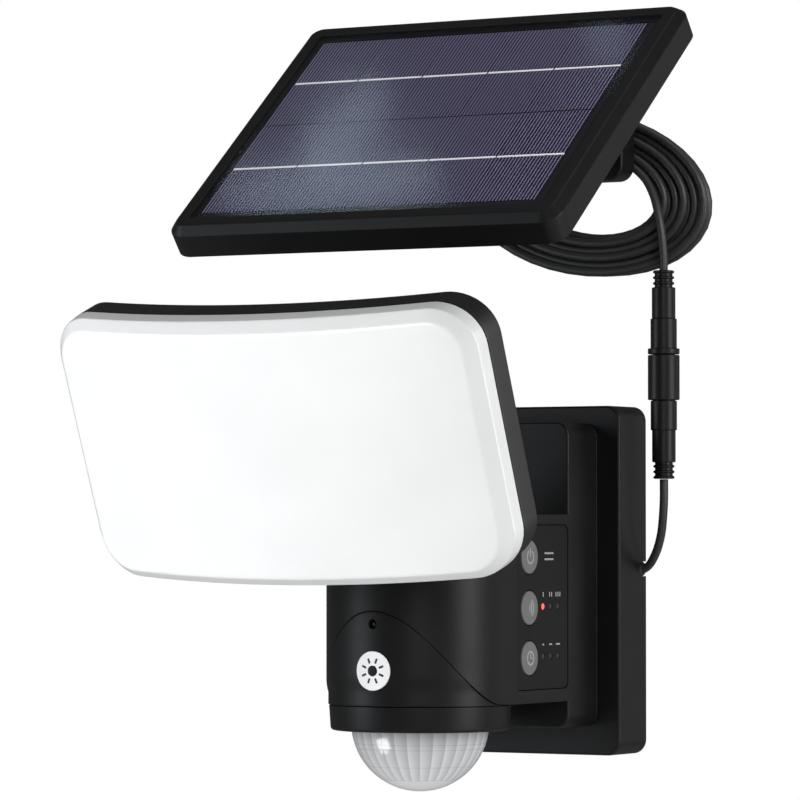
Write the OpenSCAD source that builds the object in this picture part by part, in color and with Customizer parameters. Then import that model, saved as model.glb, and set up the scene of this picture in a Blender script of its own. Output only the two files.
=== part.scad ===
// Solar flood light: a wall lamp with a motion sensor, and a remote solar panel on its own foot.
// Millimetres. The origin is the middle of the lamp's back, on the wall. +Z is up, -Y is forward.

/* [Lamp body] */
// Width of the wall plate
plate_w = 102.6; // [100:0.2:106]
// Height of the wall plate
plate_h = 154.3; // [150:0.1:158]
// Depth of the wall plate
plate_t = 25.8; // [25:0.2:27]
// Radius of the sensor column, and half the width of the body
body_r = 40.3; // [40:0.1:40.6]
// Height of the top of the sensor column
column_top = 29.5; // [29:0.1:30]
// Radius of the motion sensor's dome
dome_r = 29.7; // [29:0.1:29.8]

/* [Controls] */
// Diameter of each push button
button_d = 14.6; // [13:0.1:14.8]
// Travel of each push button
button_travel = 0.8; // [0.4:0.1:0.8]

/* [Lamp head] */
// Width of the head, along its curve
head_w = 203; // [196:1:206]
// Height of the head
head_h = 116.5; // [110:0.5:118]
// Radius of the head's curved front
head_curve = 378; // [360:1:400]
// Downward tilt of the head at rest
head_tilt = 22.2; // [18:0.1:26]

/* [Solar panel] */
// Width of the panel
panel_w = 189.6; // [184:0.2:194]
// Depth of the panel, up its slope
panel_h = 158.1; // [152:0.1:162]
// Slope of the panel at rest, from level
panel_tilt = 39; // [36:0.5:42]
// Number of cells across the panel
cells_across = 5; // [4:1:6]
// Number of rows of cells
cell_rows = 2; // [1:1:3]

/* [Lead] */
// Diameter of the lead's jacket
lead_d = 3.8; // [3.4:0.1:3.8]
// Half the width of the coil, outside
coil_a = 65.4; // [62:0.2:66]
// Half the height of the coil, outside
coil_b = 38.2; // [36:0.2:38.4]

/* [Hidden] */
$fn = 48;
WALL = 2.5;
FIT = 0.05;

// Column, seen from above: its axis is in line with the wall plate's middle.
column_y = -112.7;
column_z0 = -52.3;

// Rear block between the wall plate and the column.
seal_t = 0.8;
block_y = -plate_t - seal_t;
block_front = -53.1;
block_h = 133.7;
block_z = 2.55;
block_r = 6;

// Seam of the front cover: a parabola from the front of the column down to its sides.
seam_top = -12.1;
seam_drop = column_z0 - seam_top;
seam_gap = 0.35;
badge_z = -37.2;
badge_r = 8.3;
eye_z = -17.5;

// Keypad on the +X side.
keypad_y = -76.75;
keypad_z = -11.05;
keypad_w = 46.5;
keypad_h = 70.9;
keypad_r = 3.5;
keypad_x = 40.1;
keypad_t = 2.5;
button_y = -88.6;
button_rows = [10.7, -11.2, -32.8];
led_ys = [-75.9, -69.2, -62.5];
led_zs = [-10.8, -32.3];
led_r = 1.45;
board_x = 30.4;
board_t = 1.6;

// Ring and dome under the column.
ring_z1 = -63.4;
dome_z = -60.1;
dome_t = 1.2;

// Swivel on top of the column.
spigot_r = 10;
turret_r = 21;
turret_z = column_top + 0.8;
boss_z = 19;

// Head, in its own frame: -Y is where it faces, and y = 0 is the edge of the black housing.
head_pos = [0, -230.3, 55.6];
head_r = 20;
housing_d = 12.8;
hinge_local = [0, 34, -8];
hinge_pos = head_pos + [
    0,
    hinge_local[1] * cos(head_tilt) - hinge_local[2] * sin(head_tilt),
    hinge_local[1] * sin(head_tilt) + hinge_local[2] * cos(head_tilt)
];
knuckle_r = 9.5;
knuckle_w = 19;
tilt_bolt_r = 3;

// Solar panel, in its own frame: +Z is where it faces, +Y is up its slope.
foot_x = 10;
panel_pos = [foot_x, -123.9, 198.5];
panel_top = 1.2;
panel_base = -11.6;
panel_skirt = -13.4;
panel_r = 8.6;
bevel_in = 2.9;
bevel_h = 2.5;
glass_w = panel_w - 18;
glass_h = panel_h - 18;
cell_w = (panel_w - 27) / cells_across;
cell_h = (panel_h - 27) / cell_rows;
cells_shift = [-1.6, 1, 0];
pivot_drop = -19.5;
pivot_pos = panel_pos + [0, -pivot_drop * sin(panel_tilt), pivot_drop * cos(panel_tilt)];
arm_r = 7;
pivot_bolt_r = 2.5;

// Foot of the solar panel: it stands off the wall on two posts, and the spare lead winds behind it.
foot_w = 85.4;
foot_z0 = 176.8;
foot_h = 69.2;
foot_back = -14;
foot_t = 12;
foot_r = 6.6;
foot_holes = [[12, 182], [27, 232]];

// Coil of spare lead, flat against the wall around the foot's lower post.
coil_pos = [21.5, -1.5, 173];
coil_turn = -9;
coil_t = 11;
coil_band_a = 25.8;
coil_band_b = 20.3;

// Connector in the lead, hanging beside the lamp.
plug_x = 67.8;
plug_y = -15.1;
plug_top = 136.8;
plug_bottom = 44.8;

// Routes of the lead where it isn't coiled.
gland_x = -58;
panel_lead_route = [
    [gland_x - 0.3, pivot_pos[1], pivot_pos[2]], [-63, pivot_pos[1], pivot_pos[2]], [-68, -107, 182.6],
    [-69.5, -100, 182], [-67, -88, 181], [-60, -72, 180], [-51, -54, 179.5],
    [-44, -36, 179.8], [-41.5, -26, 180.6], [-41, -19, 181], [-41, -12.5, 181]
];
lead_drop_route = [
    [57.5, -11.5, 175.5], [60.5, -13.2, 171.8], [64.1, -14.8, 165], [66.8, -15.1, 157],
    [plug_x, plug_y, 148], [plug_x, plug_y, plug_top]
];
tail_route = [
    [plug_x, plug_y, plug_bottom], [plug_x, plug_y, 38], [67.4, -14.4, 29], [65.7, -12, 21],
    [62, -8.6, 14], [57.5, -5.2, 8.4], [54.5, -3.8, 6], [51.8, -3.5, 5], [48.5, -3.5, 5]
];

// ---- Outlines and lofts ----

function arc(cx, cy, r, a0, a1, n = 6) =
    [for (i = [0:n]) let (a = a0 + (a1 - a0) * i / n) [cx + r * cos(a), cy + r * sin(a)]];

// Rectangle with round corners, centred.
function round_rect(w, h, r) = concat(
    arc(w / 2 - r, h / 2 - r, r, 0, 90),
    arc(r - w / 2, h / 2 - r, r, 90, 180),
    arc(r - w / 2, r - h / 2, r, 180, 270),
    arc(w / 2 - r, r - h / 2, r, 270, 360)
);

// Ellipse, centred.
function ellipse(a, b, n = 48) = [for (i = [0:n - 1]) [a * cos(360 * i / n), b * sin(360 * i / n)]];

// Flat-backed outline with a round front, as the column and the pod behind it make together.
function pod_outline(r, back) = concat([[-r, back]], arc(0, column_y, r, 180, 360, 40), [[r, back]]);

// Head outline, upper half from left to right and then the lower half back, so that points i and
// n-1-i share one x and the curved ends can be closed with upright strips.
function head_upper(w, h, r) = concat(
    arc(r - w / 2, h / 2 - r, r, 180, 90),
    [for (i = [1:9]) [(w / 2 - r) * (i / 5 - 1), h / 2]],
    arc(w / 2 - r, h / 2 - r, r, 90, 0)
);
function head_outline(inset) =
    let (u = head_upper(head_w - 2 * inset, head_h - 2 * inset, head_r - inset))
    concat(u, [for (i = [len(u) - 1:-1:0]) [u[i][0], -u[i][1]]]);

// A point of the head's outline, bent round the head's curve at a depth in front of its edge. The
// head's side walls run straight back.
function bend(p, depth) =
    let (a = p[0] / head_curve * 180 / PI)
    [head_curve * sin(a), head_curve - head_curve * cos(a) - depth, p[1]];

// Solid between head outlines, from back to front: each level is [depth, inset].
module head_loft(levels) {
    n = len(head_outline(0));
    last = (len(levels) - 1) * n;
    points = [for (level = levels) for (p = head_outline(level[1])) bend(p, level[0])];
    sides = [for (k = [0:len(levels) - 2]) for (i = [0:n - 1])
        let (a = k * n + i, b = k * n + (i + 1) % n)
        each [[a, b, b + n], [a, b + n, a + n]]];
    back = [for (i = [0:n / 2 - 2]) [n - 1 - i, n - 2 - i, i + 1, i]];
    front = [for (i = [0:n / 2 - 2]) [last + i, last + i + 1, last + n - 2 - i, last + n - 1 - i]];
    polyhedron(points, concat(sides, back, front), convexity = 6);
}

function unit(v) = v / norm(v);
function along(route, i) = unit(route[min(i + 1, len(route) - 1)] - route[max(i - 1, 0)]);

// Round tube along a route. side is a direction that the route never runs along.
module tube(route, side, r = lead_d / 2, n = 8) {
    points = [for (i = [0:len(route) - 1])
        let (t = along(route, i), u = unit(cross(t, side)), v = cross(t, u))
        for (j = [0:n - 1]) route[i] + r * cos(360 * j / n) * u + r * sin(360 * j / n) * v];
    last = (len(route) - 1) * n;
    sides = [for (k = [0:len(route) - 2]) for (j = [0:n - 1])
        let (a = k * n + j, b = k * n + (j + 1) % n)
        each [[a, a + n, b + n], [a, b + n, b]]];
    caps = [[for (j = [0:n - 1]) j], [for (j = [n - 1:-1:0]) last + j]];
    polyhedron(points, concat(sides, caps), convexity = 4);
}

// Slab standing on the wall side: its outline is upright, and it reaches t forward from y.
module upright(outline, x, y, z, t) {
    translate([x, y, z]) rotate([90, 0, 0]) linear_extrude(t) polygon(outline);
}

// Cylinder along X, from x0 to x1.
module rod_x(r, x0, x1, y = 0, z = 0, fn = 48) {
    translate([x0, y, z]) rotate([0, 90, 0]) cylinder(r = r, h = x1 - x0, $fn = fn);
}

// Cylinder along Y, from y0 forward to y1.
module rod_y(r, y0, y1, x = 0, z = 0, fn = 48) {
    translate([x, y0, z]) rotate([90, 0, 0]) cylinder(r = r, h = y0 - y1, $fn = fn);
}

// Cylinder along Z, from z0 up to z1.
module rod_z(r, z0, z1, x = 0, y = 0, fn = 48) {
    translate([x, y, z0]) cylinder(r = r, h = z1 - z0, $fn = fn);
}

module box(low, high) {
    translate(low) cube(high - low);
}

module head_frame() {
    translate(head_pos) rotate([head_tilt, 0, 0]) children();
}

module panel_frame_at() {
    translate(panel_pos) rotate([panel_tilt, 0, 0]) children();
}

// ---- Lamp body ----

module wall_bracket() {
    color("silver") difference() {
        union() {
            upright(round_rect(70, 120, 4), 0, 0, 0, 2);
            for (x = [-20, 20], s = [-1, 1]) {
                box([x - 7, -2, min(s * 58, s * 72)], [x + 7, 0, max(s * 58, s * 72)]);
                box([x - 7, -18, min(s * 70, s * 72)], [x + 7, -1, max(s * 70, s * 72)]);
            }
        }
        for (x = [-25, 25], z = [-45, 45]) rod_y(2.6, 1, -3, x, z);
        for (x = [-20, 20]) rod_z(2.05, -73, -69, x, -12);
    }
}

module wall_plate() {
    rim = 3.5;
    color("#1c1d1f") difference() {
        upright(round_rect(plate_w, plate_h, 6.5), 0, 0, 0, plate_t);
        upright(round_rect(plate_w - 2 * rim, plate_h - 2 * rim, 3), 0, 1, 0, plate_t - rim + 1);
        for (x = [-32, 32], z = [-50, 56]) rod_y(2.1, -20, -27, x, z);
        rod_y(8, -20, -27, -20, 20);
        for (x = [-20, 20]) rod_z(2.1, -80, -70, x, -12);
        for (x = [-20, 20]) rod_z(3.9, -80, -75.6, x, -12);
        rod_x(3.25, 46, 53, -3.5, 5);
        box([46, -3.5, 1.75], [53, 1, 8.25]);
    }
}

module lock_screws() {
    color("silver") for (x = [-20, 20]) {
        rod_z(2, -76, -66, x, -12);
        rod_z(3.7, -77.2, -75.7, x, -12);
    }
}

module body_seal() {
    color("#3a3b3d") difference() {
        upright(round_rect(2 * body_r - 0.4, block_h - 0.4, block_r), 0, -plate_t, block_z, seal_t);
        upright(round_rect(2 * body_r - 2 * WALL, block_h - 2 * WALL, 4), 0, 0, block_z, plate_t + 2);
    }
}

module body_screws() {
    color("silver") for (x = [-32, 32], z = [-50, 56]) {
        rod_y(2, -21, -34, x, z);
        rod_y(3.6, -20, -22.2, x, z);
    }
}

// The space under the front cover's seam, in front of the column's axis.
module seam_space(lift) {
    edge = body_r + 1;
    steps = 24;
    curve = [for (i = [0:steps]) let (x = edge * (2 * i / steps - 1))
        [x, seam_top + lift + seam_drop * pow(x / body_r, 2)]];
    upright(concat(curve, [[edge, -70], [-edge, -70]]), 0, column_y - 0.2 + lift, 0, 60);
}

module body_shell() {
    cavity = round_rect(2 * body_r - 2 * WALL, block_h - 2 * WALL, block_r - WALL);
    color("#1a1b1d") difference() {
        union() {
            upright(round_rect(2 * body_r, block_h, block_r), 0, block_y, block_z, block_y - block_front);
            translate([0, 0, column_z0]) linear_extrude(column_top - column_z0)
                polygon(pod_outline(body_r, block_front + 1));
        }
        difference() {
            upright(cavity, 0, block_y + 1, block_z, block_y - block_front + 1 - WALL);
            for (x = [-32, 32], z = [-50, 56]) rod_y(4, block_y, block_front, x, z);
        }
        difference() {
            translate([0, 0, column_z0 + WALL]) linear_extrude(column_top - column_z0 - 2 * WALL)
                polygon(pod_outline(body_r - WALL, block_front - WALL));
            rod_z(16, boss_z, column_top, 0, column_y);
        }
        box([-25, block_front - WALL - 1, -35], [25, block_front + WALL + 1, 15]);
        for (x = [-32, 32], z = [-50, 56]) rod_y(2.05, block_y + 1, -36, x, z);
        rod_z(spigot_r + FIT, boss_z - 1, column_top + 1, 0, column_y);
        rod_z(6, column_z0 - 1, column_z0 + WALL + 1, 0, column_y);
        translate([body_r - 5, keypad_y, keypad_z]) rotate([90, 0, 90]) linear_extrude(6)
            polygon(round_rect(keypad_w + 0.3, keypad_h + 0.3, keypad_r));
        difference() {
            seam_space(seam_gap);
            rod_z(body_r - WALL - 0.1, -80, 0, 0, column_y);
        }
    }
}

module front_cover() {
    color("#1a1b1d") difference() {
        intersection() {
            rod_z(body_r, column_z0, 0, 0, column_y, 96);
            seam_space(0);
        }
        rod_z(body_r - WALL + 0.1, column_z0 - 1, 1, 0, column_y, 96);
        rod_y(1.7, column_y, column_y - 60, 0, eye_z);
        difference() {
            rod_y(badge_r + 0.1, column_y - 30, column_y - 60, 0, badge_z);
            rod_z(body_r - 0.7, -60, 0, 0, column_y, 96);
        }
    }
}

module badge() {
    color("white") intersection() {
        difference() {
            rod_z(body_r + 0.1, -50, -20, 0, column_y, 96);
            rod_z(body_r - 0.6, -51, -19, 0, column_y, 96);
        }
        rod_y(badge_r, column_y - 30, column_y - 60, 0, badge_z);
    }
}

module light_sensor() {
    color("#303236") {
        rod_y(1.6, column_y - 35, column_y - body_r + 0.4, 0, eye_z);
        rod_y(3, column_y - 32, column_y - 35.5, 0, eye_z);
    }
}

module sensor_ring() {
    color("#1a1b1d") translate([0, column_y, 0]) rotate_extrude($fn = 72) polygon([
        [dome_r + 0.5, ring_z1 + 0.6], [37.2, ring_z1], [38.3, ring_z1 + 0.4], [38.6, ring_z1 + 1.2],
        [39.1, column_z0 - 0.2], [34, column_z0 - 0.2], [34, dome_z], [dome_r + 0.5, dome_z]
    ]);
}

module sensor_dome() {
    top = dome_z + 0.3;
    color("#e8ecef") translate([0, column_y, 0]) {
        difference() {
            translate([0, 0, dome_z]) sphere(r = dome_r, $fn = 64);
            translate([0, 0, dome_z]) sphere(r = dome_r - dome_t, $fn = 64);
            box([-40, -40, top], [40, 40, 0]);
        }
        difference() {
            rod_z(33.6, top, top + 1.6);
            rod_z(dome_r - dome_t, top - 1, top + 2);
        }
    }
}

module sensor_board() {
    color("darkgreen") difference() {
        rod_z(31, -57.6, -56, 0, column_y);
        for (a = [0:120:240]) translate([0, column_y, 0]) rotate(a) rod_z(1.6, -58, -55, 26, 0);
    }
}

module motion_detector() {
    color("silver") translate([0, column_y, 0]) {
        rod_z(4.1, -61.8, -57.6);
        rod_z(4.6, -58.4, -57.6);
    }
}

// ---- Controls ----

module keypad() {
    color("#1e1f21") difference() {
        translate([keypad_x - keypad_t, keypad_y, keypad_z]) rotate([90, 0, 90])
            linear_extrude(keypad_t) polygon(round_rect(keypad_w, keypad_h, keypad_r));
        for (z = button_rows) rod_x(button_d / 2 + 0.15, 30, 45, button_y, z);
        for (y = led_ys, z = led_zs) rod_x(led_r + 0.1, 30, 45, y, z);
    }
}

module button(z) {
    color("#85878a") {
        rod_x(button_d / 2, 36, keypad_x + 0.7, button_y, z);
        rod_x(button_d / 2 + 1.2, 36.3, 37.3, button_y, z);
    }
}

module led(y, z) {
    rod_x(led_r, board_x + board_t, keypad_x + 0.1, y, z);
}

module lit_led() {
    color("red") led(led_ys[0], led_zs[0]);
}

module status_leds() {
    color("#6d7073") for (i = [0:2], j = [0:1]) if (i + j > 0) led(led_ys[i], led_zs[j]);
}

module control_board() {
    color("darkgreen") box([board_x, -99, -45], [board_x + board_t, -56.5, 23]);
}

module button_switches() {
    color("#26282b") for (z = button_rows) {
        box([board_x + board_t, button_y - 3, z - 3], [34.3, button_y + 3, z + 3]);
        rod_x(1.6, 34.3, 36 - button_travel - 0.3, button_y, z);
    }
}

module battery_cells() {
    color("teal") for (x = [-10, 10]) rod_z(9.1, -30, 35, x, -39.5);
}

module battery_holder() {
    color("#26282b") {
        box([-21, -29.8, -32], [21, -28, 37]);
        for (z = [-32, 35.2]) box([-21, -48, z], [21, -29.5, z + 1.8]);
    }
}

module main_board() {
    color("darkgreen") box([-30, -61.6, -30], [26, -60, 16]);
    color("#26282b") {
        box([-20, -66, -10], [-6, -61.6, 4]);
        box([4, -70, -24], [18, -61.6, -10]);
        for (x = [0, 12]) rod_y(4, -61.6, -73, x, 6);
    }
}

// ---- Swivel and head ----

module swivel_washer() {
    color("#3a3b3d") difference() {
        rod_z(19, column_top, column_top + 0.5, 0, column_y);
        rod_z(spigot_r + 0.3, column_top - 1, column_top + 1, 0, column_y);
    }
}

module swivel_arm() {
    k = [hinge_pos[1], hinge_pos[2]];
    profile = [
        [column_y + 18, turret_z], [column_y - 20, turret_z], [k[0] + 2, k[1] - knuckle_r + 0.3],
        [k[0] + 2, k[1] + knuckle_r - 0.3], [column_y - 14, 58], [column_y + 12, 52], [column_y + 18, 44]
    ];
    color("#1a1b1d") difference() {
        union() {
            rod_z(spigot_r, 14, turret_z + 1, 0, column_y);
            rod_z(turret_r, turret_z, 42, 0, column_y);
            rod_z(turret_r - 2, 42, 44, 0, column_y);
            translate([-knuckle_w / 2, 0, 0]) rotate([90, 0, 90]) linear_extrude(knuckle_w) polygon(profile);
            rod_x(knuckle_r, -knuckle_w / 2, knuckle_w / 2, k[0], k[1]);
        }
        rod_x(tilt_bolt_r + FIT, -20, 20, k[0], k[1]);
        rod_z(4, 13, 50, 0, column_y);
    }
}

module swivel_nut() {
    color("silver") difference() {
        rod_z(15, 14.5, boss_z - 0.3, 0, column_y, 6);
        rod_z(spigot_r + 0.1, 14, boss_z, 0, column_y);
    }
}

module head_bracket() {
    h = [hinge_local[1], hinge_local[2]];
    color("#1a1b1d") head_frame() difference() {
        union() {
            upright(round_rect(58, 46, 5), 0, 18.5, h[1], 3);
            for (s = [-1, 1]) {
                rod_x(knuckle_r, min(s * 10.5, s * 16.5), max(s * 10.5, s * 16.5), h[0], h[1]);
                box([min(s * 10.5, s * 16.5), 17, h[1] - knuckle_r],
                    [max(s * 10.5, s * 16.5), h[0], h[1] + knuckle_r]);
            }
        }
        rod_x(tilt_bolt_r + FIT, -20, 20, h[0], h[1]);
        for (x = [-23, 23], z = [-17, 17]) rod_y(1.6, 20, 14, x, z + h[1]);
    }
}

module head_bracket_screws() {
    color("silver") head_frame() for (x = [-23, 23], z = [-17, 17]) {
        rod_y(1.5, 19, 12, x, z + hinge_local[2]);
        rod_y(2.8, 20, 18.5, x, z + hinge_local[2]);
    }
}

module tilt_washers() {
    color("silver") head_frame() for (x = [-10.4, 9.8]) difference() {
        rod_x(8, x, x + 0.6, hinge_local[1], hinge_local[2]);
        rod_x(tilt_bolt_r + FIT, x - 1, x + 2, hinge_local[1], hinge_local[2]);
    }
}

module tilt_bolt() {
    color("silver") head_frame() {
        rod_x(tilt_bolt_r, -17, 28, hinge_local[1], hinge_local[2]);
        rod_x(5.5, -20.6, -16.6, hinge_local[1], hinge_local[2], 6);
    }
}

// Hand knob with grips, along X, starting at x.
module knob(x, r, bore, y, z) {
    difference() {
        rod_x(r, x, x + 9, y, z);
        rod_x(bore, x - 1, x + 10, y, z);
        for (a = [0:60:300]) translate([0, y, z]) rotate([a, 0, 0]) rod_x(2.6, x - 1, x + 10, r + 1, 0, 24);
    }
}

module tilt_knob() {
    color("#1a1b1d") head_frame() knob(16.9, 11, tilt_bolt_r + FIT, hinge_local[1], hinge_local[2]);
}

module head_housing() {
    color("#17181a") head_frame() difference() {
        union() {
            head_loft([[-housing_d, 1.6], [1.4 - housing_d, 0.2], [0, 0]]);
            upright(round_rect(60, 48, 6), 0, 15.5, hinge_local[2], 4.3);
        }
        head_loft([[-11, 4], [-9.5, 3], [1, 3]]);
        for (x = [-23, 23], z = [-17, 17]) rod_y(1.6, 17, 11.1, x, z + hinge_local[2]);
    }
}

module head_seal() {
    color("#3a3b3d") head_frame() difference() {
        head_loft([[0.02, 0.6], [0.78, 0.6]]);
        head_loft([[-1, 2.8], [2, 2.8]]);
    }
}

module heat_spreader() {
    color("silver") head_frame() head_loft([[-10.9, 10], [-9.1, 10]]);
}

// Places children on each of the three flat light boards, side by side round the head's curve.
module on_boards() {
    head_frame() for (a = [-9, 0, 9])
        translate([0, head_curve, 0]) rotate([0, 0, a]) translate([0, -head_curve, 0]) children();
}

module led_boards() {
    color("white") on_boards() box([-27, 6.6, -46], [27, 8, 46]);
}

module led_chips() {
    color("#f2e27a") on_boards() for (x = [-20:10:20], z = [-36:12:36])
        box([x - 1.4, 5.9, z - 1.4], [x + 1.4, 6.6, z + 1.4]);
}

module diffuser() {
    color("white") head_frame() difference() {
        head_loft([[0.8, 0], [7.3, 0.6], [11.7, 5.2]]);
        head_loft([[-1, 2], [6.6, 2.6], [9.7, 6.4]]);
    }
}

// ---- Solar panel and its foot ----

module panel_foot() {
    color("#1a1b1d") difference() {
        union() {
            upright(round_rect(foot_w, foot_h, foot_r), foot_x, foot_back, foot_z0 + foot_h / 2, foot_t);
            box([foot_x - 16.5, foot_back - 1, foot_z0 + 0.2], [foot_x + 25.5, 0, 186]);
            box([foot_x - 36, foot_back - 1, 217], [foot_x + 36, 0, 243]);
            box([foot_x - arm_r, pivot_pos[1], pivot_pos[2] - arm_r],
                [foot_x + arm_r, foot_back - foot_t + 1, pivot_pos[2] + arm_r]);
            rod_x(arm_r, foot_x - arm_r, foot_x + arm_r, pivot_pos[1], pivot_pos[2]);
        }
        rod_x(pivot_bolt_r + FIT, foot_x - 20, foot_x + 20, pivot_pos[1], pivot_pos[2]);
        for (h = foot_holes, s = [-1, 1]) {
            rod_y(2.6, 1, -30, foot_x + s * h[0], h[1]);
            rod_y(4.2, foot_back - foot_t + 4, -30, foot_x + s * h[0], h[1]);
        }
    }
}

module foot_screws() {
    color("silver") for (h = foot_holes, s = [-1, 1]) {
        rod_y(2.5, 0, -23, foot_x + s * h[0], h[1]);
        rod_y(4, foot_back - foot_t + 4, foot_back - foot_t + 1, foot_x + s * h[0], h[1]);
    }
}

module panel_lugs() {
    color("#1a1b1d") panel_frame_at() for (s = [-1, 1]) difference() {
        union() {
            rod_x(arm_r, min(s * 7.4, s * 12.4), max(s * 7.4, s * 12.4), 0, pivot_drop);
            box([min(s * 7.4, s * 12.4), -arm_r, pivot_drop], [max(s * 7.4, s * 12.4), arm_r, panel_base]);
            box([min(s * 7.4, s * 30), -16, panel_base - 3], [max(s * 7.4, s * 30), 16, panel_base]);
        }
        box([-7.3, -20, -30], [7.3, 20, 0]);
        rod_x(pivot_bolt_r + FIT, -20, 20, 0, pivot_drop);
        rod_x(7, 12.5, 31, 0, pivot_drop);
        for (y = [-10, 10]) rod_z(1.6, panel_base - 4, panel_base + 1, s * 23, y);
    }
}

module lug_screws() {
    color("silver") panel_frame_at() for (x = [-23, 23], y = [-10, 10]) {
        rod_z(1.5, panel_base - 3, panel_base + 2.1, x, y);
        rod_z(2.8, panel_base - 4.5, panel_base - 3, x, y);
    }
}

module pivot_bolt() {
    color("silver") panel_frame_at() {
        rod_x(pivot_bolt_r, -13, 25, 0, pivot_drop);
        rod_x(4.6, -16, -12.5, 0, pivot_drop, 6);
    }
}

module panel_knob() {
    color("#1a1b1d") panel_frame_at() knob(12.8, 6.6, pivot_bolt_r + FIT, 0, pivot_drop);
}

module flat_slab(w, h, r, z0, z1) {
    translate([0, 0, z0]) linear_extrude(z1 - z0) polygon(round_rect(w, h, r));
}

module panel_frame() {
    color("#1c1d1f") panel_frame_at() difference() {
        hull() {
            flat_slab(panel_w, panel_h, panel_r, panel_skirt, panel_top - bevel_h);
            flat_slab(panel_w - 2 * bevel_in, panel_h - 2 * bevel_in, panel_r - bevel_in,
                panel_top - bevel_h, panel_top);
        }
        flat_slab(glass_w, glass_h, 1.2, -0.7, 3);
        flat_slab(glass_w - 5.6, glass_h - 5.6, 1, -5, 0);
        flat_slab(panel_w - 4, panel_h - 4, panel_r - 2, panel_skirt - 1, -4);
    }
}

module panel_back() {
    color("#202123") panel_frame_at() difference() {
        flat_slab(panel_w - 4.4, panel_h - 4.4, panel_r - 2.2, panel_base, panel_base + 2);
        for (x = [-23, 23], y = [-10, 10]) rod_z(1.6, panel_base - 1, panel_base + 3, x, y);
    }
}

module panel_glass() {
    color("#a8b8d8", 0.4) panel_frame_at() flat_slab(glass_w - 0.4, glass_h - 0.4, 1, -0.6, 0.4);
}

// Places children on each cell of the panel.
module on_cells() {
    panel_frame_at() translate(cells_shift) for (i = [0:cells_across - 1], j = [0:cell_rows - 1])
        translate([(i - (cells_across - 1) / 2) * cell_w, (j - (cell_rows - 1) / 2) * cell_h, 0]) children();
}

module solar_cells() {
    color("#2a2748") on_cells()
        box([0.2 - cell_w / 2, 0.4 - cell_h / 2, -1.05], [cell_w / 2 - 0.2, cell_h / 2 - 0.4, -0.8]);
}

module cell_ribbons() {
    color("white") on_cells() box([0.4 - cell_w / 2, -0.6, -0.8], [cell_w / 2 - 0.4, 0.6, -0.65]);
}

module back_sheet() {
    color("#15161a") panel_frame_at() flat_slab(glass_w - 6, glass_h - 6, 1, -2, -1.1);
}

module junction_box() {
    color("#1a1b1d") panel_frame_at() difference() {
        box([-56, -14, -26.5], [-34, 14, panel_base]);
        box([-54, -12, -24.5], [-36, 12, panel_base - 1.5]);
        rod_x(3, -60, -50, 0, pivot_drop);
    }
}

module panel_gland() {
    start = gland_x - foot_x;
    color("#232427") panel_frame_at() difference() {
        union() {
            rod_x(2.9, -56, -52, 0, pivot_drop);
            rod_x(5.2, -62, -56, 0, pivot_drop, 6);
            rod_x(3.6, start, -61, 0, pivot_drop);
        }
        rod_x(lead_d / 2 + 0.05, start + 2, -50, 0, pivot_drop);
    }
}

// ---- Lead ----

module panel_lead() {
    color("#141416") tube(panel_lead_route, [0, 0, 1]);
}

module lead_coil() {
    color("#141416") translate(coil_pos) rotate([90, -coil_turn, 0]) linear_extrude(coil_t) difference() {
        polygon(ellipse(coil_a, coil_b));
        polygon(ellipse(coil_a - coil_band_a, coil_b - coil_band_b));
    }
}

module coil_tie() {
    top = coil_pos[2] + norm([coil_a * sin(coil_turn), coil_b * cos(coil_turn)]);
    color("#26282b") difference() {
        box([foot_x - 5, -13.7, top - coil_band_b - 1.8], [foot_x + 6, -0.3, top + 1.2]);
        box([foot_x - 6, -12.6, top - coil_band_b - 0.7], [foot_x + 7, -1.4, top + 0.2]);
    }
}

module lead_drop() {
    color("#141416") tube(lead_drop_route, [1, 0, 0]);
}

// Ribbed strain relief on the plug's axis, from its root to its tip.
module relief(root, tip) {
    long = tip - root;
    rod_z(3.95, min(root, tip), max(root, tip), plug_x, plug_y);
    for (t = [0.18, 0.5, 0.82]) {
        ends = [root + t * long, root + (t + 0.18) * long];
        rod_z(4.75, min(ends), max(ends), plug_x, plug_y);
    }
}

module lead_plug() {
    color("#1a1b1d") {
        relief(129.2, plug_top);
        rod_z(5.2, 115.5, 129.2, plug_x, plug_y);
        rod_z(5.8, 102.2, 115.5, plug_x, plug_y);
        rod_z(7, 99.8, 102.2, plug_x, plug_y);
    }
}

module coupling_nut() {
    color("#1a1b1d") difference() {
        rod_z(7, 79.6, 99.4, plug_x, plug_y);
        rod_z(5.2, 79, 84, plug_x, plug_y);
    }
}

module tail_socket() {
    color("#1a1b1d") {
        rod_z(5, 78.6, 83.7, plug_x, plug_y);
        rod_z(5.8, 66.3, 79.3, plug_x, plug_y);
        rod_z(5.2, 52.3, 66.3, plug_x, plug_y);
        relief(52.3, plug_bottom);
    }
}

module tail_cable() {
    color("#141416") tube(tail_route, [0.6, 0.8, 0]);
}

// ---- Output ----

wall_bracket();
wall_plate();
lock_screws();
body_seal();
body_screws();
body_shell();
front_cover();
badge();
light_sensor();
sensor_ring();
sensor_dome();
sensor_board();
motion_detector();
keypad();
button(button_rows[0]);  // button_mode
button(button_rows[1]);  // button_sens
button(button_rows[2]);  // button_time
lit_led();
status_leds();
control_board();
button_switches();
battery_cells();
battery_holder();
main_board();
swivel_washer();
swivel_arm();
swivel_nut();
head_bracket();
head_bracket_screws();
tilt_washers();
tilt_bolt();
tilt_knob();
head_housing();
head_seal();
heat_spreader();
led_boards();
led_chips();
diffuser();
panel_foot();
foot_screws();
panel_lugs();
lug_screws();
pivot_bolt();
panel_knob();
panel_frame();
panel_back();
panel_glass();
solar_cells();
cell_ribbons();
back_sheet();
junction_box();
panel_gland();
panel_lead();
lead_coil();
coil_tie();
lead_drop();
lead_plug();
coupling_nut();
tail_socket();
tail_cable();
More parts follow.
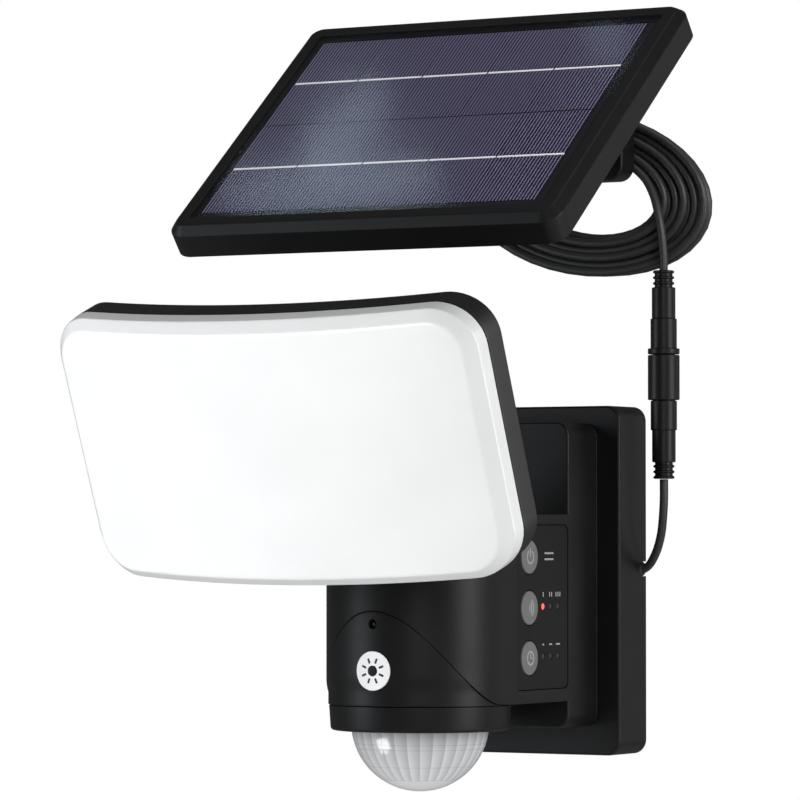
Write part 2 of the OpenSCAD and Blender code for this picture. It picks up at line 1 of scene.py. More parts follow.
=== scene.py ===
"""Looks of the solar flood light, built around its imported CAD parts. Lengths are in millimetres."""
import math

import bmesh
import bpy
from mathutils import Matrix, Vector


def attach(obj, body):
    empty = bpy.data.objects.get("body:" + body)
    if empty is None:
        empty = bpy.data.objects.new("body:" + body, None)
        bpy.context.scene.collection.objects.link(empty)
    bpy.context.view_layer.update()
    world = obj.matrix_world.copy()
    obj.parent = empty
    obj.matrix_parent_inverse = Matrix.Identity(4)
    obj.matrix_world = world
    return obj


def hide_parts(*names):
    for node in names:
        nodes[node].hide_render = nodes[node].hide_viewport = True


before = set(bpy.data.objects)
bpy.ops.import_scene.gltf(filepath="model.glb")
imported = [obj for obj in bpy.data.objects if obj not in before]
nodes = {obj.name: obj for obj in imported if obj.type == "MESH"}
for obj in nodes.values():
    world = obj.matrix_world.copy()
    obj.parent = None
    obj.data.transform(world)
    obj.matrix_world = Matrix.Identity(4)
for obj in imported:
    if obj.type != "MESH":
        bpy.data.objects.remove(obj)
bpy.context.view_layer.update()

MM = 0.001

# ---- Main sizes, the same as the CAD part's ----
PLATE_W, PLATE_H, PLATE_T = 102.6, 154.3, 25.8
BODY_R, COLUMN_Y, COLUMN_Z0, COLUMN_TOP = 40.3, -112.7, -52.3, 29.5
BLOCK_Y, BLOCK_FRONT, BLOCK_H, BLOCK_Z = -26.6, -53.1, 133.7, 2.55
SEAM_TOP, SEAM_DROP = -12.1, -40.2
EYE_Z, BADGE_Z = -17.5, -37.2
KEYPAD_Y, KEYPAD_Z, KEYPAD_W, KEYPAD_H, KEYPAD_FACE = -76.75, -11.05, 46.5, 70.9, 40.12
BUTTON_Y, BUTTON_ROWS = -88.6, (10.7, -11.2, -32.8)
LED_YS, LED_ZS = (-75.9, -69.2, -62.5), (-10.8, -32.3)
DOME_R, DOME_WALL, DOME_Z, DOME_SECTORS = 29.7, 1.2, -60.1, 32
DOME_TURN, DOME_ROWS = -0.069, (0, 17.5, 22, 39, 55.5)
HEAD_POS, HEAD_TILT = (0, -230.3, 55.6), 22.2
HEAD_W, HEAD_H, HEAD_R, HEAD_CURVE = 203, 116.5, 20, 378
HINGE = (34, -8)
PANEL_POS, PANEL_TILT = (10, -123.9, 198.5), 39
PANEL_W, PANEL_H, PANEL_R, PANEL_BACK = 189.6, 158.1, 8.6, -11.6
PIVOT, PIVOT_DROP = (-111.63, 183.35), -19.5
FOOT_X, FOOT_BACK = 10, -14
CELL_W, FINGERS_PER_CELL, FINGER_W = 32.52, 20, 0.56
LEAD_D = 3.8
PLUG_X, PLUG_Y = 67.8, -15.1
GROMMET_Y, GROMMET_Z = -3.5, 5


# ---- Materials ----

def surface(name, colour, rough=0.5, grain=900, bump=0.15, mottle=0.12, scuff=0.06, metal=0.0,
            **more):
    """Procedural material: mottled colour, uneven roughness, fine grain and faint scuffs."""
    m = bpy.data.materials.new(name)
    m.use_nodes = True
    tree = m.node_tree
    add, link = tree.nodes.new, tree.links.new
    shader = tree.nodes["Principled BSDF"]
    place = add("ShaderNodeTexCoord")

    def noise(scale, detail):
        n = add("ShaderNodeTexNoise")
        n.inputs["Scale"].default_value = scale
        n.inputs["Detail"].default_value = detail
        link(place.outputs["Object"], n.inputs["Vector"])
        return n.outputs["Fac"]

    def spread(source, low, high, lo=0.3, hi=0.7):
        r = add("ShaderNodeMapRange")
        for key, value in (("From Min", lo), ("From Max", hi), ("To Min", low), ("To Max", high)):
            r.inputs[key].default_value = value
        link(source, r.inputs["Value"])
        return r.outputs["Result"]

    clouds = noise(22, 3)
    marks = noise(160, 6)
    mix = add("ShaderNodeMix")
    mix.data_type = "RGBA"
    mix.inputs[6].default_value = [c * (1 - mottle) for c in colour] + [1]
    mix.inputs[7].default_value = [min(1, c * (1 + mottle)) for c in colour] + [1]
    link(spread(clouds, 0, 1), mix.inputs[0])
    worn = add("ShaderNodeMix")
    worn.data_type = "RGBA"
    worn.inputs[7].default_value = [min(1, c * 1.15 + 0.012) for c in colour] + [1]
    link(mix.outputs[2], worn.inputs[6])
    link(spread(marks, 0, scuff * 6, 0.62, 0.8), worn.inputs[0])
    link(worn.outputs[2], shader.inputs["Base Color"])
    wear = add("ShaderNodeMath")
    wear.operation = "ADD"
    link(spread(clouds, rough * 0.92, rough * 1.08), wear.inputs[0])
    link(spread(marks, 0, scuff, 0.55, 0.75), wear.inputs[1])
    link(wear.outputs[0], shader.inputs["Roughness"])
    relief = add("ShaderNodeBump")
    relief.inputs["Strength"].default_value = bump
    relief.inputs["Distance"].default_value = 0.0001
    link(noise(grain, 2), relief.inputs["Height"])
    link(relief.outputs["Normal"], shader.inputs["Normal"])
    shader.inputs["Metallic"].default_value = metal
    for key, value in more.items():
        shader.inputs[key.replace("_", " ")].default_value = value
    return m


def stripes(material, pitch, width, tone):
    """Fine lines printed across X over a material's colour, as on a silicon cell."""
    tree = material.node_tree
    add, link = tree.nodes.new, tree.links.new
    shader = tree.nodes["Principled BSDF"]
    under = shader.inputs["Base Color"].links[0].from_socket
    place = add("ShaderNodeTexCoord")
    split = add("ShaderNodeSeparateXYZ")
    link(place.outputs["Object"], split.inputs[0])
    value = split.outputs["X"]
    for kind, amount in (("ADD", 10.0), ("DIVIDE", pitch), ("FRACT", 0), ("SUBTRACT", 0.5),
                         ("ABSOLUTE", 0), ("LESS_THAN", width / pitch / 2)):
        step = add("ShaderNodeMath")
        step.operation = kind
        link(value, step.inputs[0])
        step.inputs[1].default_value = amount
        value = step.outputs[0]
    mix = add("ShaderNodeMix")
    mix.data_type = "RGBA"
    mix.inputs[7].default_value = tone + (1,)
    link(value, mix.inputs[0])
    link(under, mix.inputs[6])
    link(mix.outputs[2], shader.inputs["Base Color"])


def painted_lens_shading(material):
    """Painted shading of lens segments seen through a dome's clear skin, in rows: each painted light
    to dark from edge to edge, with painted dark lines between rows and painted shade darkening the
    top by the ring.
    """
    tree = material.node_tree
    add, link = tree.nodes.new, tree.links.new
    shader = tree.nodes["Principled BSDF"]
    under = shader.inputs["Base Color"].links[0].from_socket

    def step(kind, a, b=0.0):
        node = add("ShaderNodeMath")
        node.operation = kind
        for socket, value in zip(node.inputs, (a, b)):
            if isinstance(value, (int, float)):
                socket.default_value = value
            else:
                link(value, socket)
        return node.outputs[0]

    def ramp(value, low, high, start, end):
        node = add("ShaderNodeMapRange")
        for key, amount in (("From Min", low), ("From Max", high),
                            ("To Min", start), ("To Max", end)):
            node.inputs[key].default_value = amount
        link(value, node.inputs["Value"])
        return node.outputs["Result"]

    place, split = add("ShaderNodeTexCoord"), add("ShaderNodeSeparateXYZ")
    link(place.outputs["Object"], split.inputs[0])
    x, y = split.outputs["X"], step("SUBTRACT", split.outputs["Y"], COLUMN_Y * MM)
    down = step("SUBTRACT", DOME_Z * MM, split.outputs["Z"])
    out = step("SQRT", step("ADD", step("MULTIPLY", x, x), step("MULTIPLY", y, y)))
    height = step("ARCTAN2", down, out)
    around = step("ADD", step("ARCTAN2", y, x), 10 * math.pi - DOME_TURN)
    across = step("FRACT", step("MULTIPLY", around, DOME_SECTORS / (2 * math.pi)))
    # Painted shading: each lens segment goes from lighter at one edge to darker at the other, above
    # the last row only.
    shade = ramp(across, 0, 1, 1.08, 0.72)
    within = step("LESS_THAN", height, math.radians(DOME_ROWS[-1]))
    shade = step("ADD", step("MULTIPLY", shade, within), step("SUBTRACT", 1.0, within))
    # Painted shade: a thin dark line at each step between rows of lens segments.
    for row in DOME_ROWS[1:]:
        off = step("ABSOLUTE", step("SUBTRACT", height, math.radians(row)))
        line = step("LESS_THAN", off, 0.008)
        shade = step("MULTIPLY", shade, step("SUBTRACT", 1.0, step("MULTIPLY", line, 0.14)))
    # Painted shade: the dome darkens towards its top, next to the ring.
    shade = step("MULTIPLY", shade, ramp(height, 0.06, 0.3, 0.6, 1))
    mix = add("ShaderNodeMix")
    mix.data_type, mix.blend_type = "RGBA", "MULTIPLY"
    mix.inputs[0].default_value = 1.0
    link(under, mix.inputs[6])
    link(shade, mix.inputs[7])
    link(mix.outputs[2], shader.inputs["Base Color"])


black = surface("black_plastic", (0.0085, 0.0086, 0.0093), 0.44, 1100, 0.22, 0.12, 0.03)
smooth_black = surface("smooth_black", (0.011, 0.0112, 0.0115), 0.4, 1400, 0.08)
jacket = surface("lead_jacket", (0.045, 0.045, 0.046), 0.38, 700, 0.08, 0.12, 0.03)
matt_black = surface("matt_black", (0.006, 0.006, 0.0066), 0.52, 1300, 0.15, 0.12, 0.03)
rubber = surface("seal_rubber", (0.05, 0.05, 0.054), 0.75, 1200, 0.3)
steel = surface("plated_steel", (0.6, 0.61, 0.62), 0.32, 500, 0.1, 0.06, 0.1, 1.0)
aluminium = surface("aluminium", (0.72, 0.73, 0.74), 0.38, 400, 0.12, 0.05, 0.08, 1.0)
grey = surface("button_grey", (0.33, 0.33, 0.326), 0.5, 1200, 0.12, 0.06)
print_white = surface("print_white", (0.72, 0.72, 0.72), 0.45, 900, 0.05, 0.03)
badge_white = surface("badge_white", (0.68, 0.69, 0.7), 0.38, 900, 0.05, 0.03)
smoked = surface("smoked_window", (0.02, 0.02, 0.022), 0.12, 900, 0.02)
opal = surface("diffuser_white", (0.86, 0.87, 0.87), 0.3, 600, 0.02, 0.022, 0.003, Coat_Weight=0.3,
               Coat_Roughness=0.12)
lens = surface("sensor_lens", (0.62, 0.63, 0.64), 0.16, 500, 0.02, 0.02, 0.004, IOR=1.49)
# The dome's colour carries painted shading of its lens segments, of the steps between rows and of its
# top by the ring.
painted_lens_shading(lens)
led_red = surface("led_red", (0.9, 0.08, 0.06), 0.3, 900, 0.05, 0.05,
                  Emission_Color=(1, 0.12, 0.1, 1), Emission_Strength=1.5)
led_off = surface("led_off", (0.07, 0.07, 0.072), 0.35, 900, 0.05, 0.05)
dark = surface("dark_parts", (0.03, 0.032, 0.036), 0.5, 900, 0.2)
sleeve = surface("cell_sleeve", (0.05, 0.33, 0.36), 0.3, 300, 0.06)
board = surface("circuit_board", (0.03, 0.15, 0.07), 0.35, 700, 0.15, 0.2)
board_white = surface("board_white", (0.8, 0.8, 0.79), 0.35, 700, 0.08, 0.05)
phosphor = surface("led_phosphor", (0.88, 0.75, 0.28), 0.45, 900, 0.1, 0.08)
glass = surface("panel_glass", (0.03, 0.032, 0.04), 0.085, 200, 0.003, 0.05, 0.004, Alpha=0.16,
                IOR=1.6)
cell = surface("cell_blue", (0.005, 0.0032, 0.022), 0.35, 500, 0.1, 0.2, 0.01)
stripes(cell, CELL_W / FINGERS_PER_CELL * MM, FINGER_W * MM, (0.21, 0.195, 0.315))
ribbon = surface("ribbon", (0.95, 0.94, 0.97), 0.4, 800, 0.1, 0.04, 0.02)


# ---- Outlines, all anticlockwise ----

def arc(cx, cy, r, a0, a1, n=8):
    return [(cx + r * math.cos(math.radians(a0 + (a1 - a0) * i / n)),
             cy + r * math.sin(math.radians(a0 + (a1 - a0) * i / n))) for i in range(n + 1)]


def round_rect(w, h, r, x=0, y=0, n=8):
    w, h = w / 2 - r, h / 2 - r
    return (arc(x + w, y + h, r, 0, 90, n) + arc(x - w, y + h, r, 90, 180, n)
            + arc(x - w, y - h, r, 180, 270, n) + arc(x + w, y - h, r, 270, 360, n))


def circle(r, n=48):
    return [(r * math.cos(math.tau * i / n), r * math.sin(math.tau * i / n)) for i in range(n)]


def shrink(outline, d):
    """The outline moved inwards by d, each corner along its own bisector."""
    result, n = [], len(outline)
    for i in range(n):
        a, b, c = (Vector(outline[(i + k) % n]) for k in (-1, 0, 1))
        u = (b - a).normalized() if (b - a).length > 1e-6 else (c - b).normalized()
        v = (c - b).normalized() if (c - b).length > 1e-6 else u
        m, k = Vector((-u.y, u.x)), Vector((-v.y, v.x))
        result.append(tuple(b + (m + k) * (d / max(0.3, 1 + m.dot(k)))))
    return result


def rounding(e, steps=4):
    """(along, inset) of a quarter round, from the face's edge to the side."""
    turns = [math.pi / 2 * i / steps for i in range(steps + 1)]
    return [(e * (1 - math.cos(a)), e * (1 - math.sin(a))) for a in turns]


# ---- Solids, each (points, faces) ----

def join(*solids):
    points, faces = [], []
    for p, f in solids:
        faces += [[i + len(points) for i in face] for face in f]
        points += p
    return points, faces


def loft(rings, closed=False, caps=True):
    """Solid through rings of points, capped at both ends or closed into a loop."""
    n, points = len(rings[0]), [tuple(p) for ring in rings for p in ring]
    faces = []
    for k in range(len(rings) if closed else len(rings) - 1):
        a, b = k * n, (k + 1) % len(rings) * n
        faces += [[a + i, a + (i + 1) % n, b + (i + 1) % n, b + i] for i in range(n)]
    if caps and not closed:
        faces += [list(range(n))[::-1], list(range(len(points) - n, len(points)))]
    return points, faces


def layered(outline, place, levels):
    """Solid through an outline's levels, each (depth, inset). place(u, v, t) puts a point."""
    rings = [(t, shrink(outline, i) if i else outline) for t, i in levels]
    return loft([[place(u, v, t) for u, v in ring] for t, ring in rings])


def slab(outline, place, t0, t1, edge=0.8, edge0=None):
    """Plate of an outline between two depths, with its edges rounded."""
    start, end = rounding(edge if edge0 is None else edge0), rounding(edge)[::-1]
    return layered(outline, place, [(t0 + t, i) for t, i in start] + [(t1 - t, i) for t, i in end])


def lathe(profile, place, n=48, closed=False):
    """Solid turned from (radius, height) pairs. place(u, v, t) puts a point, t along its axis."""
    return loft([[place(u, v, h) for u, v in circle(r, n)] for r, h in profile], closed)


def rod(r, place, t0, t1, n=48):
    return lathe([(r, t0), (r, t1)], place, n)


def wall_place(x=0, y=0, z=0):
    return lambda u, v, t: (x + u, y + t, z + v)


def x_place(y=0, z=0, x=0):
    return lambda u, v, t: (x + t, y + u, z + v)


def z_place(x=0, y=0, z=0):
    return lambda u, v, t: (x + u, y + v, z + t)


def tilted(pos, angle):
    turn, pos = Matrix.Rotation(math.radians(angle), 3, "X"), Vector(pos)
    return lambda p: tuple(turn @ Vector(p) + pos)


in_head = tilted(HEAD_POS, HEAD_TILT)
in_panel = tilted(PANEL_POS, PANEL_TILT)


def head_place(place):
    return lambda u, v, t: in_head(place(u, v, t))


def panel_place(place):
    return lambda u, v, t: in_panel(place(u, v, t))


# ---- Pieces ----

def applied(obj):
    """Bakes the object's modifiers into its mesh."""
    bpy.context.view_layer.update()
    mesh = bpy.data.meshes.new_from_object(obj.evaluated_get(bpy.context.evaluated_depsgraph_get()))
    obj.modifiers.clear()
    obj.data = mesh
    mesh.name = obj.name


def shaded(obj, material, angle=32):
    """Smooth faces with crisp edges, and normals that keep flat faces flat."""
    mesh = obj.data
    mesh.materials.clear()
    mesh.materials.append(material)
    mesh.shade_smooth()
    mesh.set_sharp_from_angle(angle=math.radians(angle))
    modifier = obj.modifiers.new("flat", "WEIGHTED_NORMAL")
    modifier.keep_sharp = True
    applied(obj)


def solid_object(name, solid):
    mesh = bpy.data.meshes.new(name)
    mesh.from_pydata([Vector(p) * MM for p in solid[0]], [], solid[1])
    b = bmesh.new()
    b.from_mesh(mesh)
    bmesh.ops.recalc_face_normals(b, faces=b.faces)
    b.to_mesh(mesh)
    b.free()
    obj = bpy.data.objects.new(name, mesh)
    bpy.context.scene.collection.objects.link(obj)
    return obj


def piece(name, solid, material, body, replaces=(), cuts=(), angle=32):
    """A shown piece of the object: a solid with others cut out of it."""
    obj = solid_object(name, solid)
    for k, cut in enumerate(cuts):
        tool = solid_object(f"{name}_tool{k}", cut)
        modifier = obj.modifiers.new("cut", "BOOLEAN")
        modifier.object, modifier.solver = tool, "EXACT"
        modifier.use_self = True
        applied(obj)
        bpy.data.objects.remove(tool)
    shaded(obj, material, angle)
    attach(obj, body)
    if replaces:
        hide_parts(*replaces)
    return obj


def curve_piece(name, points, diameter, material, body):
    curve = bpy.data.curves.new(name, "CURVE")
    curve.dimensions = "3D"
    curve.bevel_depth = diameter / 2 * MM
    curve.bevel_resolution = 3
    curve.use_fill_caps = True
    spline = curve.splines.new("POLY")
    spline.points.add(len(points) - 1)
    for p, q in zip(spline.points, points):
        p.co = (*(Vector(q) * MM), 1)
    spline.use_smooth = True
    curve.materials.append(material)
    obj = bpy.data.objects.new(name, curve)
    bpy.context.scene.collection.objects.link(obj)
    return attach(obj, body)


# ---- Camera and light ----

scene = bpy.context.scene
camera = bpy.data.objects.new("camera", bpy.data.cameras.new("camera"))
camera.data.lens, camera.data.sensor_width = 203.85, 36
camera.location = (0.972, -1.8, 0.021)
camera.rotation_euler = (math.radians(91.68), 0, math.radians(30.2))
scene.collection.objects.link(camera)
scene.camera = camera


def soft_light(name, place, target, size, power, tint=(1, 1, 1)):
    light = bpy.data.lights.new(name, "AREA")
    light.shape = "RECTANGLE"
    light.size, light.size_y = size
    light.energy = power
    light.color = tint
    obj = bpy.data.objects.new(name, light)
    obj.location = place
    obj.rotation_euler = (Vector(target) - Vector(place)).to_track_quat("-Z", "Y").to_euler()
    scene.collection.objects.link(obj)
    return obj


scene.view_settings.view_transform = "Standard"
soft_light("side_light", (1.6, -0.05, 0.3), (0, -0.05, 0.05), (0.6, 1.4), 8.5)
soft_light("back_light", (1.1, 1.5, 0.3), (0, -0.05, 0.05), (1.0, 1.4), 1.3)
soft_light("left_light", (-1.3, -1.3, 0.2), (0, -0.1, 0), (0.5, 1.2), 6, (0.9, 0.95, 1))
soft_light("camera_fill", (1.25, -2.3, 0.35), (0, -0.1, 0.05), (0.9, 0.9), 4)
soft_light("top_light", (0.2, -0.3, 1.6), (0, -0.1, 0.15), (0.8, 0.6), 2)
panel_light = soft_light("panel_light", (0.9, -0.9, 1.7), (0, -0.12, 0.2), (0.8, 0.8), 54)
front_light = soft_light("front_light", (-0.6, -1.85, -0.62), (0, -0.2, 0.05), (1.2, 1.0), 65)
dome_light = soft_light("dome_light", (0.389, -0.135, -0.58), (0, -0.112, -0.07), (0.3, 0.3), 3)
dome_light.visible_glossy = False
dome_glint = soft_light("dome_glint", (-0.459, -0.621, -0.474), (0, -0.112, -0.06), (0.34, 0.24),
                        3.2)
lead_light = soft_light("lead_light", (1.5, -1.2, 0.9), (0.02, 0, 0.17), (0.8, 0.8), 14)
rim_light = soft_light("rim_light", (1.4, 0.45, 0.12), (0, -0.23, 0.05), (0.6, 1.2), 13)


def glass_glow(name, u, v, size, power, turn=0):
    """Pale round reflection on the panel's glass around (u, v), turned as the camera sees it."""
    spot = Vector(in_panel((u, v, 0.4))) * MM
    normal = Matrix.Rotation(math.radians(PANEL_TILT), 3, "X") @ Vector((0, 0, 1))
    sight = (spot - camera.location).normalized()
    right = sight.cross((0, 0, 1)).normalized()
    axes = [a - 2 * a.dot(normal) * normal for a in (right, right.cross(sight), sight)]
    light = soft_light(name, spot + axes[2] * 1.4, spot, size, power, (0.65, 0.87, 1))
    light.data.shape = "ELLIPSE"
    light.rotation_euler = Matrix(axes).transposed().to_euler()
    light.rotation_euler.rotate_axis("Z", math.radians(turn))
    return light


glows = [glass_glow("low_glow", -24, -50, (0.165, 0.04), 0.078, 6),
         glass_glow("tall_glow", -40, -2, (0.085, 0.035), 0.034, 42),
         glass_glow("corner_glow", 63.5, 55.7, (0.032, 0.031), 0.006)]

world = bpy.data.worlds.new("studio")
world.use_nodes = True
tree = world.node_tree
sky = tree.nodes["Background"]
sky.inputs["Color"].default_value = (1, 1, 1, 1)
sky.inputs["Strength"].default_value = 0.1
seen = tree.nodes.new("ShaderNodeBackground")
seen.inputs["Color"].default_value = (1, 1, 1, 1)
seen.inputs["Strength"].default_value = 1.0
pick = tree.nodes.new("ShaderNodeMixShader")
ray = tree.nodes.new("ShaderNodeLightPath")
tree.links.new(ray.outputs["Is Camera Ray"], pick.inputs[0])
tree.links.new(sky.outputs[0], pick.inputs[1])
tree.links.new(seen.outputs[0], pick.inputs[2])
tree.links.new(pick.outputs[0], tree.nodes["World Output"].inputs["Surface"])
scene.world = world

floor = solid_object("floor", slab(round_rect(5000, 5000, 40), z_place(), -640, -620, 5))
shaded(floor, surface("floor", (0.82, 0.82, 0.81), 0.6, 60, 0.05, 0.02, 0.02))


# ---- The lead ----

def smoothed(points, steps=4):
    """Catmull-Rom curve through the points."""
    p = [Vector(q) for q in points]
    p = [2 * p[0] - p[1]] + p + [2 * p[-1] - p[-2]]
    result = []
    for k in range(1, len(p) - 2):
        for i in range(steps):
            t = i / steps
            result.append(0.5 * (2 * p[k] + (p[k + 1] - p[k - 1]) * t
                                 + (2 * p[k - 1] - 5 * p[k] + 4 * p[k + 1] - p[k + 2]) * t * t
                                 + (3 * p[k] - p[k - 1] - 3 * p[k + 1] + p[k + 2]) * t ** 3))
    return result + [p[-2]]


COIL_X, COIL_Y, COIL_Z, COIL_TILT = 24.6, -10.5, 173.4, math.radians(11)
COIL_A, COIL_B, COLUMN_A, COLUMN_B, LAYER = 61.6, 35.2, 4.9, 3.12, 3.9
LAST_TURN, STEP_OVER = 0.3, 0.86


def coil(per_turn=40):
    """Turns in six columns of two layers. The last one leaves the coil near its top."""
    turns = [(column, (column + q) % 2) for column in range(6) for q in (0, 1)]
    result = []
    for k, (column, layer) in enumerate(turns):
        after = turns[min(k + 1, len(turns) - 1)]
        count = per_turn if after != (column, layer) else int(per_turn * LAST_TURN)
        for i in range(count):
            turn = i / per_turn
            ease = max(0, min(1, (turn - STEP_OVER) / (1 - STEP_OVER)))
            ease = ease * ease * (3 - 2 * ease)
            c = column + (after[0] - column) * ease
            depth = [COIL_Y + LAYER * q + (LEAD_D / 2 if col % 2 else 0)
                     for col, q in ((column, layer), after)]
            y = depth[0] + (depth[1] - depth[0]) * ease
            angle = math.pi - 2 * math.pi * turn
            stray = math.sin(2 * angle + 1.7 * k) * 0.3 + math.sin(3 * angle + 2.9 * k) * 0.15
            u = (COIL_A - COLUMN_A * c + stray) * math.cos(angle)
            v = (COIL_B - COLUMN_B * c + stray) * math.sin(angle)
            result.append(Vector((COIL_X + u * math.cos(COIL_TILT) + v * math.sin(COIL_TILT), y,
                                  COIL_Z - u * math.sin(COIL_TILT) + v * math.cos(COIL_TILT))))
    return result


solar_route = smoothed([
    (-58, -111.6, 183.3), (-63, -111.2, 183.2), (-68, -107, 182.6), (-69.5, -100, 182),
    (-67, -88, 181), (-60, -72, 180), (-51, -54, 179.5), (-44, -36, 180), (-40, -24, 181),
    (-37.2, -15, 183)], 3)[:-1]
solar_route += coil()
solar_route += smoothed([
    (39, -9, 189.2), (45, -9.6, 186.6), (50.8, -11, 183.4), (57.2, -11.6, 177.7),
    (62, -12.9, 169.8), (65.1, -14.6, 161.4), (66.9, -15.1, 153.4),
    (PLUG_X, PLUG_Y, 144), (PLUG_X, PLUG_Y, 137)], 3)
tail_route = smoothed([
    (PLUG_X, PLUG_Y, 44.6), (PLUG_X, PLUG_Y, 36), (67.1, -14.6, 28.5), (65, -12.2, 20.8),
    (61.2, -8.6, 13.8), (57, -5.4, 8.7), (54.2, -3.9, 6.2), (51.8, GROMMET_Y, GROMMET_Z),
    (48.5, GROMMET_Y, GROMMET_Z)], 3)


solar_lead = curve_piece("solar_lead", solar_route, LEAD_D, jacket, "lamp_body")
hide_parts("panel_lead", "lead_coil", "lead_drop")
tail_lead = curve_piece("tail_lead", tail_route, LEAD_D, jacket, "lamp_body")
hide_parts("tail_cable")


def relief(root, tip):
    """Ribbed strain relief from its root at the connector to its tip."""
    profile = [(3.95, root)]
    for start in (0.18, 0.5, 0.82):
        for h, r in ((0, 3.95), (0.02, 4.4), (0.06, 4.7), (0.12, 4.7), (0.16, 4.4), (0.18, 3.95)):
            profile.append((r, root + (tip - root) * (start + h)))
    return profile + [(2.2, tip)]


on_plug = z_place(PLUG_X, PLUG_Y)


def barrel(r, z0, z1, edge=0.45):
    bottom = [(r - i, z0 + t) for t, i in rounding(edge, 3)]
    return lathe(bottom + [(r - i, z1 - t) for t, i in rounding(edge, 3)[::-1]], on_plug, 64)


plug = piece("plug", join(lathe(relief(129, 136.8), on_plug), barrel(5.2, 115.4, 129.3),
                          barrel(5.8, 102, 115.5), barrel(7, 99.8, 102.3, 0.35)),
             smooth_black, "lamp_body", ["lead_plug"])
socket = piece("socket", join(barrel(5, 78.6, 83.7), barrel(5.8, 66.2, 79.3),
                              barrel(5.2, 52.1, 66.4), lathe(relief(52.4, 44.8), on_plug)),
               smooth_black, "lamp_body", ["tail_socket"])
nut_profile = [(5.2, 79.6), (6.6, 79.6), (6.88, 79.72), (7, 80), (7, 99), (6.88, 99.28),
               (6.6, 99.4), (1.5, 99.4), (1.5, 84), (5.2, 84)]
nut = piece("nut", lathe(nut_profile, on_plug, 64, True), smooth_black, "plug_nut",
            ["coupling_nut"])

tie = piece("tie", join(*[slab(round_rect(1.2, 22.6, 0.5), x_place(y, 201.6), 7.4, 13.4, 0.4)
                          for y in (-13.1, -0.9)],
                        *[slab(round_rect(12.8, 1.3, 0.5), x_place(-7, z), 7.4, 13.4, 0.4)
                          for z in (190.6, 212.6)],
                        slab(round_rect(1.6, 6, 0.5), x_place(-13.1, 206), 6.4, 14.4, 0.5)),
            rubber, "lamp_body", ["coil_tie"])
grommet_profile = [(1.95, 49.5), (3.2, 49.5), (3.2, 51.1), (2.9, 51.5), (2.3, 51.8), (1.95, 51.8)]
piece("grommet", lathe(grommet_profile, x_place(GROMMET_Y, GROMMET_Z), 40, True), rubber,
      "lamp_body", ())


# ---- Wall plate ----

plate_levels = [(-22.3, 4.1), (-21.7, 3.5), (-0.3, 3.5), (0, 3.2), (0, 0.3), (-0.3, 0)]
plate_levels += [(-PLATE_T + t, i) for t, i in rounding(1.3, 5)[::-1]]
piece("plate", layered(round_rect(PLATE_W, PLATE_H, 6.5, n=12), wall_place(), plate_levels), black,
      "lamp_body", ["wall_plate"],
      [rod(3.25, x_place(GROMMET_Y, GROMMET_Z), 46, 53),
       slab(round_rect(4.6, 6.5, 0.1), x_place(GROMMET_Y + 2.3, GROMMET_Z), 46, 53, 0.05)]
      + [rod(3.9, z_place(x, -12), -80, -75.6) for x in (-20, 20)]
      + [rod(2.1, z_place(x, -12), -80, -70) for x in (-20, 20)])


# ---- Body: block, pod and front cover ----

def seam(x):
    return SEAM_TOP + SEAM_DROP * (x / BODY_R) ** 2


side_y = BLOCK_FRONT + 1.0
pod = ([(-38, side_y + 3)] + [(-BODY_R, side_y + (COLUMN_Y - side_y) * k / 6) for k in range(6)]
       + arc(0, COLUMN_Y, BODY_R, 180, 360, 72)
       + [(BODY_R, COLUMN_Y + (side_y - COLUMN_Y) * k / 6) for k in range(1, 7)]
       + [(38, side_y + 3)])


def pod_bottom(x, y):
    return max(COLUMN_Z0, seam(x) + 0.32) if y <= COLUMN_Y + 0.01 else COLUMN_Z0


POD_EDGE = 1.1
pod_rings = [[(x, y, COLUMN_TOP - t) for x, y in shrink(pod, i)] for t, i in rounding(POD_EDGE)]
wall_top = COLUMN_TOP - POD_EDGE
for k in range(1, 9):
    pod_rings.append([(x, y, wall_top + (pod_bottom(x, y) + 0.2 - wall_top) * k / 8)
                      for x, y in pod])
for i in (0.12, 2.3):
    pod_rings.append([(sx, sy, pod_bottom(x, y)) for (x, y), (sx, sy) in zip(pod, shrink(pod, i))])
pod_rings.append([(sx, sy, 26) for sx, sy in shrink(pod, 2.4)])
pod_floor = slab(shrink(pod, 2.5), z_place(), COLUMN_Z0, COLUMN_Z0 + 2.4, 0.1)
block = slab(round_rect(2 * BODY_R, BLOCK_H, 6, n=10), wall_place(z=BLOCK_Z), BLOCK_FRONT, BLOCK_Y,
             0.3, 1.0)
recess = slab(round_rect(KEYPAD_W + 0.5, KEYPAD_H + 0.5, 3.6), x_place(KEYPAD_Y, KEYPAD_Z),
              37.5, 42, 0.05)
piece("shell", join(loft(pod_rings), block, pod_floor), black, "lamp_body", ["body_shell"],
      [recess])


def cover_ring(level, inset):
    """Ring of the front cover: level 0 is its lower edge, 1 its seam."""
    ring = []
    for k in range(73):
        a = math.radians(180 + 180 * k / 72)
        c, s = math.cos(a), math.sin(a)
        top = max(COLUMN_Z0 + 0.3, seam(BODY_R * c) + 0.02)
        z = COLUMN_Z0 + (top - COLUMN_Z0) * level
        sink = max(0, min(1, (-39 - z) / 8))
        r = BODY_R - 0.85 * sink * sink * (3 - 2 * sink) - inset
        ring.append((r * c, COLUMN_Y + r * s, z))
    return ring


def strip_solid(rings):
    """Solid closed around its rings, whose two ends are flat."""
    m, n = len(rings), len(rings[0])
    points = [p for ring in rings for p in ring]
    faces = [[k * n + i, k * n + i + 1, (k + 1) % m * n + i + 1, (k + 1) % m * n + i]
             for k in range(m) for i in range(n - 1)]
    return points, faces + [[k * n for k in range(m)], [k * n + n - 1 for k in range(m)][::-1]]


